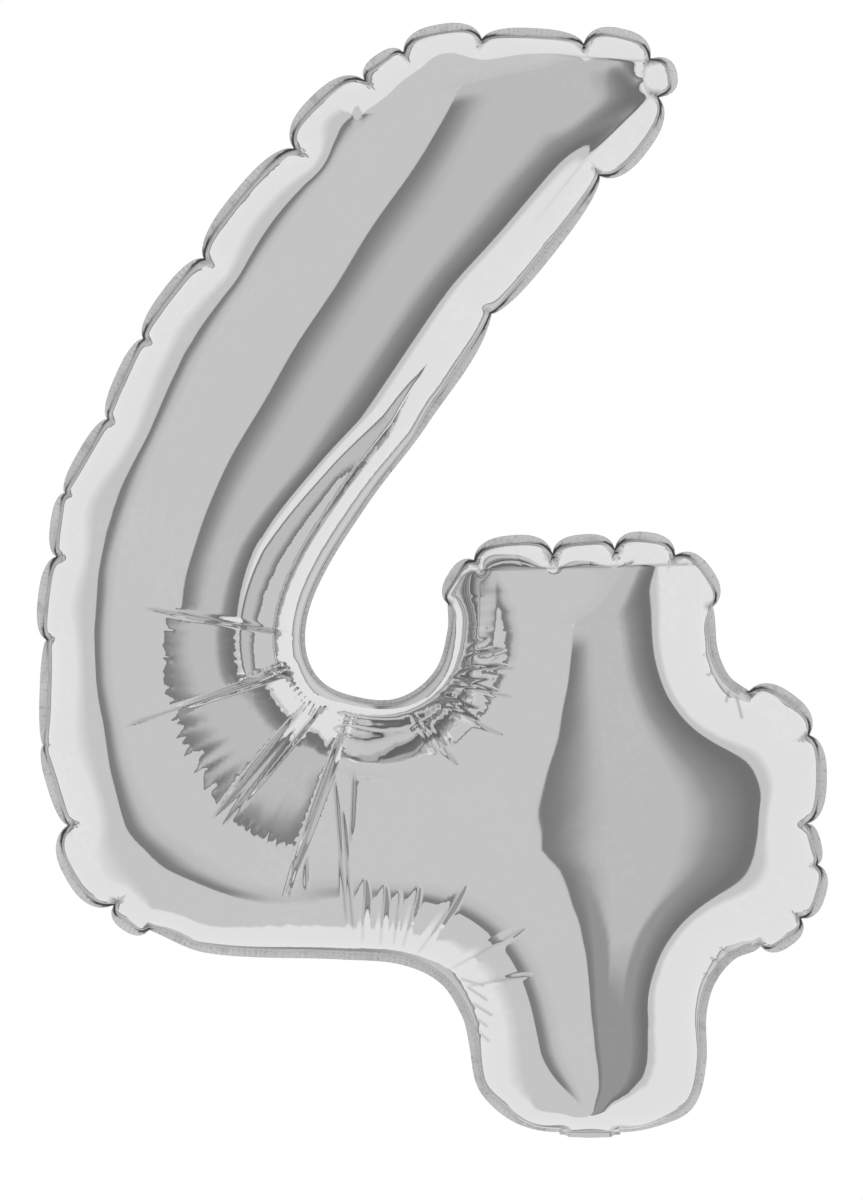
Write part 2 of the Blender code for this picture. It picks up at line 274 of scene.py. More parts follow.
CREASES = [
    (complex(*tip) * MM, complex(*root) * MM, half_width * MM, height * MM, dark)
    for tip, root, half_width, height, dark in BEND_CREASES + CORNER_CREASES + FOOT_CREASES + BAR_CREASES
]
FOLDS = [
    ([(complex(x, z) * MM, share) for x, z, share in line], slope, reach * MM, dark)
    for line, slope, reach, dark in FOLD_LINES
]
TUCK = [(complex(x, z) * MM, share) for x, z, share in TUCK_LINE]

# The inner bend, and the ridge's stretch of the seam, which ends at the bend's fourth point
BEND_RUN = next(run for name, _, _, run in SEAM_RUNS if name == "inner bend")
RIDGE_SEAM = [RIDGE_ENDS[0]] + [complex(x, z) * MM for x, z in BEND_RUN[:4]]


def ease(share):
    share = np.clip(share, 0.0, 1.0)
    return share * share * (3 - 2 * share)


def bell(share):
    return np.exp(-(share**2))


def teeth(turn, uneven, rate):
    """Teeth from 0 to 1, one for each whole turn, of uneven width."""
    return np.abs((turn + uneven * np.sin(rate * turn)) % 1 - 0.5) * 2


# Seam


def seam_knots():
    """The seam's points from corner to corner of the neck, each with its lobe's rise, whether it is a notch,
    how far the film is gathered and pulled, and the seal's flat share."""
    corner = NECK_WIDTH / 2
    knots = [(complex(-corner, 0), 0.0, False, 0.0, 0.0, FLAT_IN_LOBES)]
    for _, gathered, flat, run in SEAM_RUNS:
        pulls = BEND_PULLS if run is BEND_RUN else (0.0,) * len(run)
        for (x, z, *rise), pulled in zip(run, pulls):
            rises = rise[0] * MM if rise else 0.0
            knots.append((complex(x, z) * MM, rises, bool(rise), gathered, pulled, flat))
    knots.append((complex(corner, 0), 0.0, False, 0.0, 0.0, FLAT_IN_LOBES))
    return knots


def knot_tangents(knots):
    """Unit directions of travel out of each knot and into the next one."""
    along_neck = complex(-1, 0)
    tangents = []
    for i in range(len(knots) - 1):
        (start, rise, start_notch, *_), (end, _, end_notch, *_) = knots[i], knots[i + 1]
        chord = end - start
        lean = cmath.exp(2j * math.atan2(2 * rise, abs(chord)))
        leave = chord * lean
        arrive = chord / lean
        if not start_notch:
            leave = end - knots[i - 1][0] if i else along_neck
        if not end_notch:
            arrive = knots[i + 2][0] - start if i + 2 < len(knots) else along_neck
        tangents.append((leave / abs(leave), arrive / abs(arrive)))
    return tangents


def cubic(start, end, leave, arrive, t):
    """Points and directions at t on a curve that turns like an arc from one tangent to the other."""
    chord = end - start
    first = start + leave * abs(chord) / (3 * math.cos(cmath.phase(leave / chord) / 2) ** 2)
    second = end - arrive * abs(chord) / (3 * math.cos(cmath.phase(arrive / chord) / 2) ** 2)
    s = 1 - t
    point = s**3 * start + 3 * s * s * t * first + 3 * s * t * t * second + t**3 * end
    slope = s * s * (first - start) + 2 * s * t * (second - first) + t * t * (end - second)
    return point, slope / abs(slope)


def squarer(points, start, end, rise, t):
    """A lobe's points, moved towards a curve with steep ends and a flat top."""
    across, up = -np.cos(np.pi * t), np.sin(np.pi * t)
    along = (1 + np.sign(across) * np.abs(across) ** (2 / LOBE_POWER)) / 2
    square = start + (end - start) * (along + 1j * rise / abs(end - start) * up ** (2 / LOBE_POWER))
    return points + LOBE_SQUARE * (square - points)


def even_out(values, half_window):
    """A closed row of values, each averaged with those beside it."""
    window = np.ones(2 * half_window + 1) / (2 * half_window + 1)
    return np.convolve(np.pad(values, half_window, "wrap"), window, "valid")


def seam_loop():
    """The seam's edge, its outward direction, the seal's width, how near a lobe's end is, how far the film is
    gathered and pulled, point by point, and the notches with the length of their valleys."""
    knots = seam_knots()
    tangents = knot_tangents(knots)
    narrow, wide, pinched = 15 * MM, 30 * MM, 4 * MM
    stretches, notches = [], []
    for i, (leave, arrive) in enumerate(tangents):
        start, rise, start_notch, gathered, pulled, lies_flat = knots[i]
        end, _, end_notch, _, next_pulled, _ = knots[i + 1]
        steps = max(FEWEST_STEPS, round(abs(end - start) / SEAM_STEP))
        t = np.arange(steps) / steps
        points, directions = cubic(start, end, leave, arrive, t)
        if start_notch and end_notch:
            points = squarer(points, start, end, rise, t)
            steps_along = np.gradient(points)[1:]
            directions[1:] = steps_along / np.abs(steps_along)
        if i:
            directions[0] += tangents[i - 1][1]
        normals = 1j * directions / np.abs(directions)
        fullness = np.maximum(np.sin(np.pi * t), (1 - t) * (not start_notch) + t * (not end_notch))
        near_neck = ease((wide - np.abs(points)) / (wide - narrow))
        stretches.append((
            points,
            normals,
            (NOTCH_SEAL + (SEAL_WIDTH - NOTCH_SEAL) * fullness) * (1 - NECK_NARROWS * near_neck),
            (1 - fullness) * min(1.0, rise / pinched),
            np.full(steps, gathered),
            pulled + (next_pulled - pulled) * t,
            np.full(steps, lies_flat),
        ))
        if start_notch:
            valley = 0.8 * MM + 0.5 * (rise + knots[i - 1][1])
            notches.append((points[0], normals[0], valley))
    steps = round(NECK_WIDTH / SEAM_STEP)
    neck = NECK_WIDTH / 2 - NECK_WIDTH * np.arange(steps) / steps
    none = np.zeros(steps)
    neck_seal = none + SEAL_WIDTH * (1 - NECK_NARROWS)
    stretches.append((neck + 0j, none - 1j, neck_seal, none, none, none, none + FLAT_IN_LOBES))
    edge, outward, width, lobe_end, gather, pull, flat = map(np.concatenate, zip(*stretches))
    beside_flat, beside_gather, beside_pull = 5, 9, 6
    width = width * even_out(flat, beside_flat)
    gather = even_out(gather, beside_gather)
    pull = even_out(pull, beside_pull)
    return edge, outward, width, lobe_end, gather, pull, notches


edge, outward, width, lobe_end, gather, pull, notches = seam_loop()
seal = edge - outward * width
seam_length = np.concatenate([[0], np.cumsum(np.abs(np.diff(edge)))])


# Film between the seals


def inside_loop(points, loop):
    """Which points lie inside a closed loop."""
    found = np.zeros(len(points), bool)
    for start, end in zip(loop, np.roll(loop, -1)):
        if start.imag == end.imag:
            continue
        between = (points.imag < start.imag) != (points.imag < end.imag)
        share = (points.imag - start.imag) / (end.imag - start.imag)
        found ^= between & (points.real < start.real + share * (end.real - start.real))
    return found


def nearest_on(points, line, chunk=4000):
    """Distance of each point from the nearest of a line's points, and which one it is."""
    distance = np.empty(len(points))
    index = np.empty(len(points), int)
    for first in range(0, len(points), chunk):
        apart = np.abs(points[first:first + chunk, None] - line[None, :])
        nearest = apart.argmin(axis=1)
        index[first:first + chunk] = nearest
        distance[first:first + chunk] = apart[np.arange(len(nearest)), nearest]
    return distance, index


def hex_grid(low, high, step):
    rows = np.arange(low.imag, high.imag, step * math.sqrt(3) / 2)
    columns = np.arange(low.real, high.real, step)
    shift = (np.arange(len(rows)) % 2)[:, None] * step / 2
    return (columns[None, :] + shift + 1j * rows[:, None]).ravel()


def along_line(points, start, end):
    """Share of the way along a line and distance from it, positive on the left as seen from its start."""
    share = (points - start) / (end - start)
    return share.real, share.imag * abs(end - start)


def distance_from(points, start, end):
    share, _ = along_line(points, start, end)
    return np.abs(points - start - np.clip(share, 0, 1) * (end - start))


def is_fine(points):
    """Which points lie on or just beside a form that needs the fine grid."""
    at_line, at_tuck, at_ridge, at_crest = 1 * MM, 13 * MM, 22 * MM, 4 * MM
    lines = [(tip, root, half_width) for tip, root, half_width, *_ in CREASES]
    lines += [(notch, notch - normal * reach, at_line) for notch, normal, reach in notches]
    for knots, _, _, dark in FOLDS:
        lines += [(start, end, at_line) for (start, _), (end, _) in zip(knots, knots[1:]) if dark]
    lines += [(start, end, at_tuck) for (start, _), (end, _) in zip(TUCK, TUCK[1:])]
    lines += [(start, end, at_ridge) for start, end in zip(RIDGE_SEAM, RIDGE_SEAM[1:])]
    found = np.abs(np.abs(points - FAN_MIDDLE) - FAN_RADIUS) < at_crest
    found &= in_facet(points, FAN_FACETS[0][0], FAN_FACETS[-1][1]) > 0
    found |= np.abs(points - WRINKLE_MIDDLE) < 0.7 * WRINKLE_REACH
    for start, end, half_width in lines:
        found |= distance_from(points, start, end) < half_width + CREASE_STEP
    return found


def bulge_points():
    """Points inside the seal: rows that follow it, where the film is steep, then coarse and fine grids."""
    kept = []
    for row in RIM_ROWS:
        points = seal - outward * row
        distance, _ = nearest_on(points, seal)
        clear = points[inside_loop(points, seal) & (distance > 0.8 * row)]
        spaced = [clear[0]]
        for point in clear[1:]:
            if abs(point - spaced[-1]) > 0.7 * row:
                spaced.append(point)
        kept.append(np.array(spaced))
    corner = complex(seal.real.min(), seal.imag.min())
    opposite = complex(seal.real.max(), seal.imag.max())
    for step, wants_fine in ((BULGE_STEP, False), (CREASE_STEP, True)):
        grid = hex_grid(corner, opposite, step)
        grid = grid[is_fine(grid) == wants_fine]
        grid = grid[inside_loop(grid, seal)]
        distance, _ = nearest_on(grid, seal)
        kept.append(grid[distance > RIM_ROWS[-1] + 0.5 * step])
    return np.concatenate(kept)


def triangulate(place):
    """Triangles inside the seal's loop, which comes first, turning left as seen from the front."""
    points = [Vector((p.real, p.imag)) for p in place]
    flat, _, faces, origins, _, _ = delaunay_2d_cdt(points, [], [list(range(len(seal)))], 1, 1e-7)
    if len(flat) != len(points):
        raise ValueError("the seal's edge crosses itself")
    source = np.array([origin[0] for origin in origins])
    triangles = source[np.array(faces)]
    a, b, c = place[triangles].T
    right_turn = ((b - a).conj() * (c - a)).imag < 0
    triangles[right_turn] = triangles[right_turn][:, ::-1]
    return triangles


def inflate(place, triangles, rim):
    """Depth of the blown-up film over the seam plane.

    A membrane under even load, held at the rim's depths, gives u. The depth sqrt(2 u) is a half circle across
    a long limb and a shallower dome over a round end, as in a film that can't stretch.
    """
    load = np.zeros(len(place))
    starts, ends, weights = [], [], []
    for turn in range(3):
        a, b, c = np.roll(triangles, turn, axis=1).T
        corner = (place[b] - place[a]).conj() * (place[c] - place[a])
        load += np.bincount(a, corner.imag / 6, len(place))
        starts += [b, c]
        ends += [c, b]
        weights += [corner.real / corner.imag / 2] * 2
    start, end, weight = np.concatenate(starts), np.concatenate(ends), np.concatenate(weights)
    diagonal = np.bincount(start, weight, len(place))
    free = (np.arange(len(place)) >= len(rim)).astype(float)

    def tension(u):
        return free * (diagonal * u - np.bincount(start, weight * u[end], len(place)))

    u = np.zeros(len(place))
    u[:len(rim)] = (rim / PLUMPNESS) ** 2 / 2
    left = free * load - tension(u)
    search = left / diagonal
    size = left @ search
    goal = 1e-10 * size
    while size > goal:
        pulled = tension(search)
        step = size / (search @ pulled)
        u += step * search
        left -= step * pulled
        eased = left / diagonal
        last, size = size, left @ eased
        search = eased + size / last * search
    return PLUMPNESS * np.sqrt(np.maximum(2 * u, 0))


def past_and_left(ends, along):
    """Length along the seam past the first of two of its points, and what is left up to the second."""
    _, nearest = nearest_on(np.array(ends), edge)
    start, end = seam_length[nearest]
    return along - start, end - along


def without_lobes(points, chunk=2000):
    """Where the points would lie if the digit's back had no lobes. The seal's nearest points count most."""
    fade, nearly = 20 * MM, 0.3 * MM
    past, left = past_and_left(BACK_ENDS, seam_length)
    kept = ease(past / fade) * ease(left / fade)
    shift = (even_out(seal, BACK_EVEN) - seal) * kept
    moved = points.copy()
    distance, nearest = nearest_on(points, seal)
    near = np.flatnonzero((distance < BACK_REACH) & (kept[nearest] > 0))
    for some in np.array_split(near, len(near) // chunk + 1):
        weight = (np.abs(points[some, None] - seal[None, :]) + nearly) ** -4.0
        moved[some] += weight @ shift / weight.sum(axis=1) * (1 - ease(distance[some] / BACK_REACH))
    return moved


# Puckers and creases


def crease_lift(points, tip, root, half_width, height):
    """A sharp fold that widens from its tip and narrows again to its root."""
    opens, narrows, ends, rounded = 0.3, 0.6, 0.3, 0.06
    share, across = along_line(points, tip, root)
    along = np.clip(share, 1e-6, 1)
    narrowed = ease((along - narrows) / (1 - narrows))
    spread = np.sqrt(np.minimum(1, along / opens)) * (1 - 0.5 * narrowed)
    away = np.sqrt((across / (half_width * spread)) ** 2 + rounded**2)
    flank = np.clip(1 + rounded - away, 0, None)
    return height * spread * flank * ease((1 - share) / ends) * (share > 0)


def fold_side(points, knots):
    """Distance from a fold, the same but 0 on its left side, and the lean's share."""
    apart = np.full(len(points), np.inf)
    beside = np.zeros(len(points))
    kept = np.zeros(len(points))
    for (start, first), (end, last) in zip(knots, knots[1:]):
        share, left = along_line(points, start, end)
        distance = distance_from(points, start, end)
        nearer = distance < apart
        apart = np.where(nearer, distance, apart)
        beside = np.where(nearer, distance * (left < 0), beside)
        kept = np.where(nearer, first + (last - first) * ease(share), kept)
    return apart, beside, kept


def fold_lift(points, knots, slope, reach):
    """Lean of the film on the right of a fold, which dies out away from it."""
    _, beside, kept = fold_side(points, knots)
    return slope * beside * np.exp(-beside / reach) * kept


def tuck_lift(points):
    """Dip of the film beside the tuck: down to a valley, then slowly back up."""
    _, beside, kept = fold_side(points, TUCK)
    first, last = TUCK_SLOPES
    down = np.minimum(beside, TUCK_WIDTH)
    dip = first * down - (first - last) / 2 * down**2 / TUCK_WIDTH
    return -dip * np.clip(1 - (beside - TUCK_WIDTH) / TUCK_RETURN, 0, 1) * kept


def in_facet(points, first, last):
    """1 between two of the bend's creases and 0 outside them, with a narrow change at each."""
    change = 1.6 * MM
    _, above = along_line(points, *CREASES[first][:2])
    _, below = along_line(points, *CREASES[last][:2])
    return ease(-above / change) * ease(below / change)


def fan_lift(points):
    """Lean of the facets outside the bend, which puts their toothed crest at the fan's radius."""
    radius = np.abs(points - FAN_MIDDLE)
    angle = np.angle((points - FAN_MIDDLE) * -1)
    total = np.zeros(len(points))
    for first, last, slope, crest, count, tooth in FAN_FACETS:
        starts, ends = (cmath.phase((CREASES[k][0] - FAN_MIDDLE) * -1) for k in (first, last))
        turn = (angle - starts) / (ends - starts) * count
        tall = 0.7 + 0.3 * np.sin(2.1 * turn + first)
        within = np.maximum(FAN_RADIUS - tooth * MM * tall * teeth(turn, 0.15, 5.3) - radius, 0)
        eased = within - (1 - FAN_JUMP) * crest * MM * np.tanh(within / (crest * MM))
        drop = slope * FAN_WIDTH * (1 - np.exp(-eased / FAN_WIDTH))
        grown = ease((radius - 0.2 * FAN_RADIUS) / (0.5 * FAN_RADIUS))
        total -= drop * grown * in_facet(points, first, last)
    return total


def pucker(points, notch, normal, reach):
    """Share of the depth that is left beside a notch, where the seam pinches the film into a short valley."""
    half_at_notch, spreads, taken = 0.7 * MM, 0.12, 0.45
    offset = (points - notch) / -normal
    along, across = offset.real, np.abs(offset.imag)
    half_width = half_at_notch + spreads * np.maximum(along, 0)
    fade = ease(1 - np.abs(along) / reach)
    return 1 - taken * bell(across / half_width) * fade


def bend_pull(distance, along):
    """The bend's pull at a distance from the seal: a slope back up to a fold with small teeth, where it is
    steepest, and a gentle one behind the fold."""
    tooth_length, steeper = 5.5 * MM, 0.36
    fold = PULL_FOLD + FOLD_TEETH * teeth(along / tooth_length, 0.2, 3.1)
    share = np.clip((fold - distance) / (fold - PULL_PEAK), 0, 1)
    behind = np.clip((PULL_END - distance) / (PULL_END - fold), 0, 1)
    eased = share * (1 + steeper - steeper * share)
    slope = (PULL_DEPTH - FOLD_DEPTH) * eased + FOLD_DEPTH * behind**2
    return np.minimum(PULL_DEPTH * ease(distance / PULL_PEAK), slope)


def bend_ridge(distance, along):
    """The bend's ridge at a distance from the seal: steep up to its peak, then a terrace to its fold, whose
    slopes at both change as it opens."""
    past, left = past_and_left(RIDGE_ENDS, along)
    opened = np.clip(past / RIDGE_OPENS, 0.001, 1)
    fringe_length, closes = 0.32 * MM, 2.5 * MM
    turn = along / fringe_length
    uneven = RIDGE_FRINGE * opened**2 * (np.sin(turn) + np.sin(0.43 * turn))
    fringe = uneven * bell((distance - RIDGE_PEAK) / MM)
    width = RIDGE_WIDTH * opened
    at_peak = np.interp(opened, (0.38, 0.62), (0.83, 1.36))
    at_fold = 0.63 - 0.52 * opened
    dip = RIDGE_DIP * opened**2
    share = np.clip((distance - RIDGE_PEAK) / width, 0, 1)
    terrace = width * (at_peak * (1 - share) + (at_fold - at_peak) * (1 - share**2) / 2) - dip
    behind = np.clip(1 - (distance - RIDGE_PEAK - width) / (RIDGE_RETURN * opened), 0, 1)
    lift = np.where(share < 1, terrace * np.clip(distance / RIDGE_PEAK, 0, 1), -dip * behind**2)
    return (lift + fringe) * ease(left / closes) * (past > 0)


def in_corner(along):
    """1 beside the bend's right corner and 0 away from it."""
    grows, fades = 8 * MM, 5 * MM
    past, left = past_and_left(WRINKLE_ENDS, along)
    return ease(past / grows) * ease(left / fades)


def corner_wrinkles(distance, along):
    """Wrinkles that spread from the bend's right corner, uneven and steeper on one side."""
    turn = math.tau * along / WRINKLE_LENGTH
    turn = turn + 0.7 * np.sin(0.37 * turn)
    wave = np.sin(turn) + 0.3 * np.sin(2 * turn)
    start, grows, fades = 1 * MM, 6 * MM, 10 * MM
    reach = ease((distance - start) / grows) * ease((WRINKLE_REACH - distance) / fades)
    return WRINKLE_HEIGHT * wave * in_corner(along) * reach


def seam_wrinkles(points, seed):
    """Fine gathers that run in from the smooth runs of the seam, with the bend's wrinkles, ridge and pull."""
    random = np.random.default_rng(seed)
    distance, nearest = nearest_on(points, seal)
    along = seam_length[nearest] + ((points - seal[nearest]) / (-1j * outward[nearest])).real
    total = np.zeros(len(points))
    height, sway_length, grows, end, fades = 0.08 * MM, 23 * MM, 3 * MM, 17 * MM, 11 * MM
    for length, share in ((3.1 * MM, 0.5), (4.7 * MM, 0.8), (7.9 * MM, 1.0)):
        sway = 0.8 * np.sin(math.tau * along / sway_length + random.uniform(0, 6))
        total += share * np.sin(math.tau * along / length + sway + random.uniform(0, 6))
    reach = ease(distance / grows) * ease((end - distance) / fades)
    past, left = past_and_left(RIDGE_ENDS, along)
    taut = ease(past / (10 * MM)) * ease(left / (40 * MM))
    calm = (1 - 0.85 * in_corner(along)) * (1 - 0.9 * taut)
    total *= height * reach * gather[nearest] * calm
    total += corner_wrinkles(distance, along) + bend_ridge(distance, along)
    return total - bend_pull(distance, along) * pull[nearest]


def ripple(points, seed):
    """Slow unevenness of the film, from a few waves that run in seeded directions."""
    random = np.random.default_rng(seed)
    total = np.zeros(len(points))
    height, lengths = 0.02 * MM, np.geomspace(9 * MM, 60 * MM, 7)
    for length in lengths:
        turn = cmath.exp(1j * random.uniform(0, math.tau))
        wave = np.sin(math.tau / length * (points * turn).real + random.uniform(0, math.tau))
        total += height * length / lengths[-1] * wave
    return total


def shoulder_lift(points):
    share, left = along_line(points, *SHOULDER)
    side = SHOULDER_SIDE * (1 + np.clip(share, 0, 1))
    return SHOULDER_HEIGHT * ease(share) * ease(1 + left / side)


def relief(points, depth, seed):
    """Depth with the puckers at the notches, the creases and folds of the bends and the film's unevenness."""
    for notch, normal, reach in notches:
        depth = depth * pucker(points, notch, normal, reach)
    lift = fan_lift(points) + tuck_lift(points) + shoulder_lift(points)
    for *crease, _ in CREASES:
        lift += crease_lift(points, *crease)
    for *fold, _ in FOLDS:
        lift += fold_lift(points, *fold)
    lift += seam_wrinkles(points, seed)
    lift += ripple(points, seed)
    full_from = 9 * MM
    return depth + lift * ease(depth / full_from)


def channel_lift(x):
    """Height of the neck's flat channel, which is sealed shut at both its sides."""
    return NECK_LIFT * ease((CHANNEL_HALF + CHANNEL_RAMP - np.abs(x)) / CHANNEL_RAMP)


# Materials


def put(value, socket):
    """Joins another node's output to an input, or sets the input's value."""
    if isinstance(value, bpy.types.NodeSocket):
        socket.id_data.links.new(value, socket)
    else:
        socket.default_value = value


def fill(node, **values):
    """Sets a node's settings and inputs by their names."""
    for key, value in values.items():
        if hasattr(node, key):
            setattr(node, key, value)
        else:
            put(value, node.inputs[key.replace("_", " ")])
    return node


def new_material(name):
    """A material, its shader and a function that adds a node with its settings and inputs."""
    made = bpy.data.materials.new(name)
    made.use_nodes = True
    nodes = made.node_tree.nodes

    def add(kind, **values):
        return fill(nodes.new("ShaderNode" + kind), **values)

    return made, nodes["Principled BSDF"], add


def grey(level):
    return (level, level, level, 1.0)


def ramp_between(add, source, stops):
    """A colour ramp of grey levels over a source value."""
    ramp = add("ValToRGB", Fac=source)
    elements = ramp.color_ramp.elements
    while len(elements) < len(stops):
        elements.new(0.5)
    for element, (position, level) in zip(elements, stops):
        element.position = position
        element.color = grey(level)
    return ramp.outputs["Color"]


def noise_maker(add, seed):
    """A function that adds noise over a piece, shifted by the seed."""
    spot = add("TexCoord").outputs["Object"]
    shifted = add("Mapping", Vector=spot, Location=(seed, seed * 0.7, seed * 0.3)).outputs["Vector"]

    def noise(scale, detail, roughness):
        made = add("TexNoise", Vector=shifted, Scale=scale, Detail=detail, Roughness=roughness)
        return made.outputs["Fac"]

    return noise


def foil_material(name, tone, roughness, seed):
    """Metallised film: bright metal with a faint mottle and painted shade in its creases and beside its seal,
    and a frosted heat seal with crimp marks.
    """
    made, shader, add = new_material(name)
    noise = noise_maker(add, seed)

    def math_node(operation, *values):
        node = add("Math", operation=operation)
        for value, socket in zip(values, node.inputs):
            put(value, socket)
        return node.outputs["Value"]

    def times(first, second):
        return math_node("MULTIPLY", first, second)

    def mixed(share, first, second):
        return add("Mix", data_type="RGBA", Factor=share, A=first, B=grey(second)).outputs["Result"]

    flange, groove, along = (
        add("Attribute", attribute_name=key).outputs["Fac"] for key in ("flange", "groove", "along"))
    mottle, patches, specks, streaks = (
        noise(scale, detail, 0.6)
        for scale, detail in ((420.0, 3.0), (28.0, 2.0), (900.0, 2.0), (170.0, 3.0)))

    tones = [(0.0, tone - 0.006), (0.30, tone), (0.40, tone + 0.02), (1.0, tone + 0.02)]
    film = ramp_between(add, times(mottle, patches), tones)
    specked = times(flange, ramp_between(add, specks, [(0.59, 0.0), (0.70, 0.8)]))
    streaked = times(flange, ramp_between(add, streaks, [(0.54, 0.0), (0.68, 0.4)]))
    film = mixed(streaked, film, 0.36)
    film = mixed(specked, film, 0.42)
    # Painted shade, near black: beside the seal, in the notches' valleys, along the creases and folds and in
    # wedges at the lobes' ends, with a dark line at the seal's outer edge
    film = mixed(groove, film, 0.07)
    dull = add("MapRange", Value=patches, From_Min=0.3, From_Max=0.7,
               To_Min=roughness * 0.8, To_Max=roughness * 1.2)

    crimp_wave = math_node("SINE", times(along, math.tau / CRIMP_PITCH))
    crimp = times(flange, times(crimp_wave, patches))
    fine = add("Bump", Strength=0.25, Distance=0.006 * MM, Height=mottle)
    crimped = add("Bump", Strength=0.6, Distance=0.06 * MM, Height=crimp, Normal=fine.outputs["Normal"])
    fill(shader, Base_Color=film, Normal=crimped.outputs["Normal"],
         Metallic=math_node("SUBTRACT", 1.0, times(flange, 0.6)),
         Roughness=math_node("MULTIPLY_ADD", flange, 0.22, dull.outputs["Result"]))
    return made


def valve_material(name, tone, seed):
    """Clear, slightly hazy film."""
    made, shader, add = new_material(name)
    haze = noise_maker(add, seed)(180.0, 3.0, 0.5)
    colour = ramp_between(add, haze, [(0.3, tone - 0.03), (0.7, tone)])
    dull = add("MapRange", Value=haze, From_Min=0.3, From_Max=0.7, To_Min=0.24, To_Max=0.36)
    fine = add("Bump", Strength=0.3, Distance=0.02 * MM, Height=haze)
    fill(shader, Alpha=0.6, Base_Color=colour,
         Roughness=dull.outputs["Result"], Normal=fine.outputs["Normal"])
    return made


# Panels


def add_piece(name, corners, faces, looks, **attributes):
    """A shaded mesh object with float attributes on its points."""
    mesh = bpy.data.meshes.new(name)
    mesh.from_pydata(corners.tolist(), [], faces)
    mesh.shade_smooth()
    mesh.materials.append(looks)
    for key, values in attributes.items():
        attribute = mesh.attributes.new(key, "FLOAT", "POINT")
        attribute.data.foreach_set("value", np.asarray(values, np.float32))
    made = bpy.data.objects.new(name, mesh)
    bpy.context.scene.collection.objects.link(made)
    return made


def grid_faces(rows, columns):
    """Quads between rows of points."""
    first = (np.arange(rows - 1)[:, None] * columns + np.arange(columns - 1)).ravel()
    return np.stack([first, first + 1, first + columns + 1, first + columns], axis=1).tolist()


def at_neck(points):
    """Which points lie at the neck's open end."""
    return (np.abs(points.real) < NECK_WIDTH / 2) & (points.imag < NECK_END)


place = np.concatenate([seal, bulge_points()])
triangles = triangulate(place)
from_seal, nearest_seal = nearest_on(place, seal)
neck_rim = at_neck(seal) * NECK_FULL * ease((NECK_WIDTH / 2 - np.abs(seal.real)) / NECK_SIDE)


def flange_wave(length, seed):
    """Unevenness of the seal along the seam, which both panels share."""
    random = np.random.default_rng(seed)
    total = np.zeros(len(length))
    whole = seam_length[-1]
    once_round = 6 * MM
    for waves in (43, 71, 97, 131, 173):
        total += np.sin(math.tau * waves * length / whole + random.uniform(0, math.tau)) / waves
    return total * once_round


def painted_shade_lines():
    """Painted shade: how dark the film is painted beside the seal, most at the lobes' ends and where the seam
    faces up and left, in the notches' valleys and along the creases and folds.
    """
    at_seal, adds, at_fold, at_crease = 0.32 * MM, 0.5 * MM, 0.35 * MM, 0.4 * MM
    # The painted shade beside the seal is wider and darker where the seam faces up and left
    up_left = np.maximum((outward[nearest_seal] * complex(-0.6, -0.8)).real, 0) ** 2
    dark = bell(from_seal / (at_seal + adds * up_left))
    dark *= (0.45 + 0.3 * lobe_end[nearest_seal] + 0.25 * up_left) * (place.imag > NECK_END)
    for notch, normal, reach in notches:
        offset = (place - notch) / -normal
        line = bell(offset.imag / at_fold) * ease(1 - np.abs(offset.real) / reach)
        dark = np.maximum(dark, 0.8 * line)
    for tip, root, _, _, strength in CREASES:
        share, across = along_line(place, tip, root)
        line = bell(across / at_crease) * ease(share / 0.1) * ease((1 - share) / 0.15)
        dark = np.maximum(dark, strength * line)
    for knots, _, _, strength in FOLDS:
        apart, _, kept = fold_side(place, knots)
        dark = np.maximum(dark, strength * kept * bell(apart / at_fold))
    return dark


def seal_shade(share):
    """How dark a row across the seal is: a dark line at its outer edge, and painted shade in wedges at the
    lobes' ends.
    """
    wedge = ease((share - 0.95 + 0.9 * lobe_end) / 0.15)
    return np.maximum(0.25 * (share == 0), wedge * (0.3 + 0.7 * ease(lobe_end / 0.5)))


def panel(name, side, rim, looks, seed):
    """The front panel has side -1 and the back one +1. Its seal has rows of points from the edge inwards."""
    count = len(edge)
    points = np.concatenate([place] + [edge - outward * width * share for share in FLANGE_ROWS])
    depth = relief(place, inflate(without_lobes(place), triangles, rim), seed)
    bulge = np.concatenate([depth] + [rim] * len(FLANGE_ROWS))
    bulge *= np.sqrt(1 - np.clip(1 - points.imag / NECK_ROLL, 0, 1) ** 2)
    bulge = np.where(at_neck(points), np.maximum(bulge, channel_lift(points.real)), bulge)
    wave = flange_wave(seam_length, 7)
    curl = np.concatenate([np.zeros(len(place))] + [wave * (1 - share) / 2 for share in FLANGE_ROWS])
    curl *= ease(np.abs(points.real) / NECK_WIDTH + points.imag / NECK_WIDTH - 0.6)
    corners = np.stack([points.real, side * (bulge + PANEL_FILM) + curl, points.imag], axis=1)

    firsts = [len(place) + k * count for k in range(len(FLANGE_ROWS))] + [0]
    here = np.arange(count)
    after = (here + 1) % count
    faces = triangles.tolist()
    for outer, inner in zip(firsts, firsts[1:]):
        faces += np.stack([inner + here, inner + after, outer + after, outer + here], axis=1).tolist()
    if side > 0:
        faces = [face[::-1] for face in faces]

    channel_sides = ease((np.abs(edge.real) - CHANNEL_HALF) / CHANNEL_RAMP)
    frosted = np.where(at_neck(seal), channel_sides, 1)
    return add_piece(
        name, corners, faces, looks,
        # Painted shade beside the seal, in the notches' valleys, along the creases and folds and in wedges at
        # the lobes' ends, with a dark line at the seal's outer edge
        groove=np.concatenate([painted_shade_lines()] + [seal_shade(share) for share in FLANGE_ROWS]),
        along=np.concatenate([seam_length[nearest_seal]] + [seam_length] * len(FLANGE_ROWS)),
        flange=np.concatenate([np.zeros(len(place))] + [frosted] * len(FLANGE_ROWS)),
    )


def dress(piece, node, body=None):
    """Puts a piece in its node's place."""
    if body:
        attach(piece, body)
    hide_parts(node)


